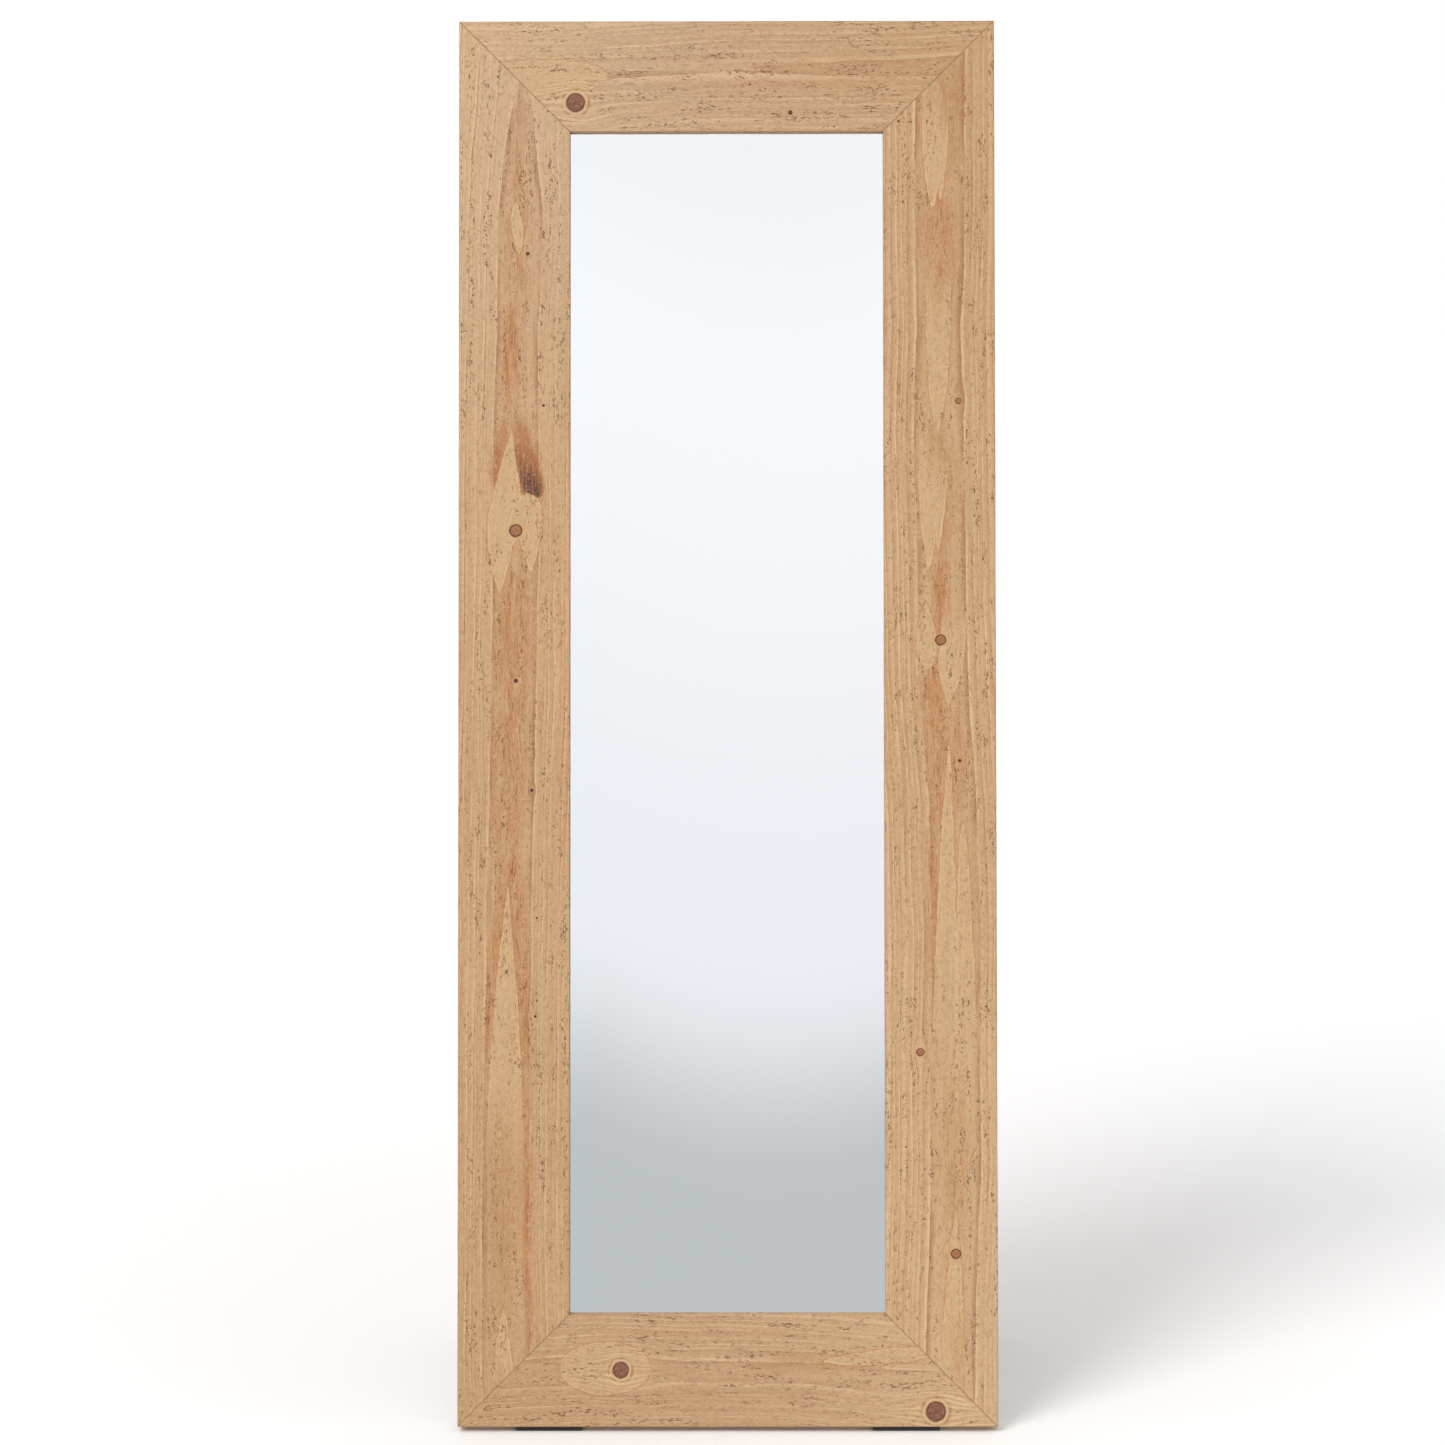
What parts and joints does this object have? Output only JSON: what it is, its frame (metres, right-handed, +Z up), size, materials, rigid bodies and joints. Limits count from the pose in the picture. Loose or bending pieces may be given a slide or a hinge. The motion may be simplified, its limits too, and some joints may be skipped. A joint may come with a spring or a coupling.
{
  "type": "cheval floor mirror",
  "caption": "Tall rectangular floor mirror in a wide flat mitred softwood frame that leans back on a folding rear easel strut held by slotted stays.",
  "frame": {"origin": "on the floor, at the middle of the whole object's footprint box", "axes": "+Z up, the glass faces -Y and leans back 9 degrees, so its top is towards +Y; X runs along the frame's width, and the object is symmetric about X = 0"},
  "size_m": [0.65, 0.3962, 1.6857],
  "materials": {
    "frame_spruce": "brushed knotty spruce, clear matt oil",
    "strut_spruce": "planed spruce, unfinished",
    "beech": "pressed or turned beech, unfinished",
    "hardboard": "dark brown hardboard, smooth side out",
    "silvered_glass": "silvered float glass",
    "cork": "cork and rubber setting block",
    "zinc_steel": "bright zinc plated steel",
    "black_rubber": "matt moulded rubber"
  },
  "bodies": {
    "frame": {"frame_stile_left": "frame_spruce", "frame_stile_right": "frame_spruce", "frame_rail_top": "frame_spruce", "frame_rail_bottom": "frame_spruce", "corner_biscuit_top_left": "beech", "corner_plate_top_left": "zinc_steel", "corner_biscuit_top_right": "beech", "corner_plate_top_right": "zinc_steel", "corner_biscuit_bottom_left": "beech", "corner_plate_bottom_left": "zinc_steel", "corner_biscuit_bottom_right": "beech", "corner_plate_bottom_right": "zinc_steel", "mirror_glass": "silvered_glass", "backing_board": "hardboard", "batten_left": "strut_spruce", "batten_right": "strut_spruce", "batten_top": "strut_spruce", "batten_bottom": "strut_spruce", "setting_block_left": "cork", "hinge_frame_leaf_left": "zinc_steel", "hinge_pin_left": "zinc_steel", "stay_bracket_left": "zinc_steel", "stay_rivet_left": "zinc_steel", "frame_foot_left": "black_rubber", "fold_bumper_left": "black_rubber", "hinge_screw_frame_left_1": "zinc_steel", "bracket_screw_left_1": "zinc_steel", "hinge_screw_frame_left_2": "zinc_steel", "bracket_screw_left_2": "zinc_steel", "setting_block_right": "cork", "hinge_frame_leaf_right": "zinc_steel", "hinge_pin_right": "zinc_steel", "stay_bracket_right": "zinc_steel", "stay_rivet_right": "zinc_steel", "frame_foot_right": "black_rubber", "fold_bumper_right": "black_rubber", "hinge_screw_frame_right_1": "zinc_steel", "bracket_screw_right_1": "zinc_steel", "hinge_screw_frame_right_2": "zinc_steel", "bracket_screw_right_2": "zinc_steel"},
    "strut": {"hinge_screw_strut_left_1": "zinc_steel", "hinge_screw_strut_left_2": "zinc_steel", "strut_leg_left": "strut_spruce", "hinge_strut_leaf_left": "zinc_steel", "stay_pin_left": "zinc_steel", "strut_boot_left": "black_rubber", "hinge_screw_strut_right_1": "zinc_steel", "hinge_screw_strut_right_2": "zinc_steel", "strut_leg_right": "strut_spruce", "hinge_strut_leaf_right": "zinc_steel", "stay_pin_right": "zinc_steel", "strut_boot_right": "black_rubber", "strut_rail_upper": "strut_spruce", "strut_tenon_upper_left": "beech", "strut_tenon_upper_right": "beech", "strut_rail_lower": "strut_spruce", "strut_tenon_lower_left": "beech", "strut_tenon_lower_right": "beech"},
    "stay_left": {"stay_bar_left": "zinc_steel"},
    "stay_right": {"stay_bar_right": "zinc_steel"}
  },
  "joints": [
    {"name": "strut_fold", "type": "hinge", "parent": "frame", "child": "strut", "pos_m": [0, 0.02458, 1.23699], "axis": [-1, 0, 0], "range_deg": [0, 15.75]},
    {"name": "stay_left_swing", "type": "hinge", "parent": "frame", "child": "stay_left", "pos_m": [-0.223, 0.00951, 1.0875], "axis": [-1, 0, 0], "range_deg": [0, 22.6]},
    {"name": "stay_right_swing", "type": "hinge", "parent": "frame", "child": "stay_right", "pos_m": [0.223, 0.00951, 1.0875], "axis": [-1, 0, 0], "range_deg": [0, 22.6]}
  ],
  "couplings": [
    {"joint": "stay_left_swing", "follows": "strut_fold", "ratio": 1.4202},
    {"joint": "stay_right_swing", "follows": "strut_fold", "ratio": 1.4202}
  ]
}
